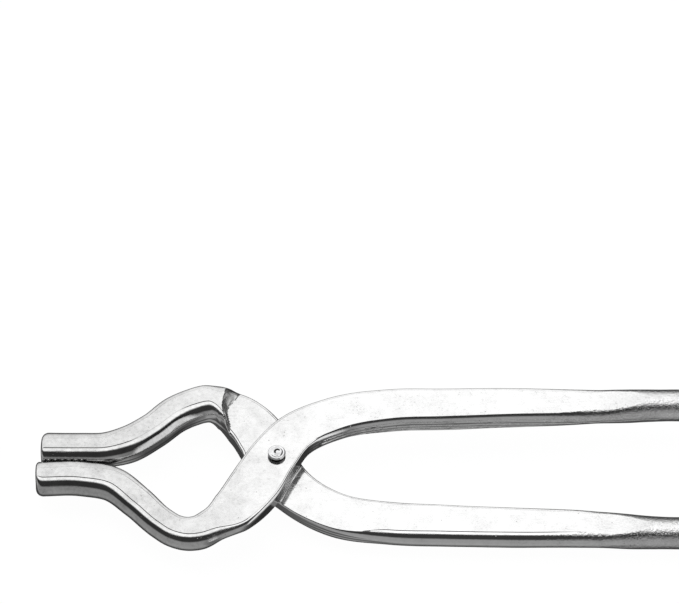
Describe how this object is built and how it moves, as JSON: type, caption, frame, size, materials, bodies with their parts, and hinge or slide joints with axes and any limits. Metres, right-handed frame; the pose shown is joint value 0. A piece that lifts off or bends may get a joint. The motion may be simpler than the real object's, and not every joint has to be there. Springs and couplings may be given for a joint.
{
  "type": "crucible tongs",
  "caption": "Scissor-action tongs with round rod handles, flat riveted bosses, and arms that bow out round a gripping space and close on serrated jaws.",
  "frame": {"origin": "centre of the bounding box of the closed tongs; the rivet's axis stands 99.8 mm from it towards the jaws, at x = -0.0998, y = 0.00115", "axes": "+X along the tongs from jaws to handle ends; +Z along the rivet's axis, from the lower arm to the upper arm and the rivet's head; +Y towards the upper arm's handle"},
  "size_m": [0.3501, 0.0596, 0.0166],
  "materials": {
    "plated_steel": "bright nickel-like plate over forged steel, fine pits and faint scratches",
    "rivet_steel": "satin, hammered head"
  },
  "bodies": {
    "lower": {"lower_arm": "plated_steel", "pivot_rivet": "rivet_steel"},
    "upper": {"upper_arm": "plated_steel"}
  },
  "joints": [
    {"name": "pivot_hinge", "type": "hinge", "parent": "lower", "child": "upper", "pos_m": [-0.0998, 0.00115, 0], "axis": [0, 0, 1], "range_deg": [0, 50]}
  ]
}
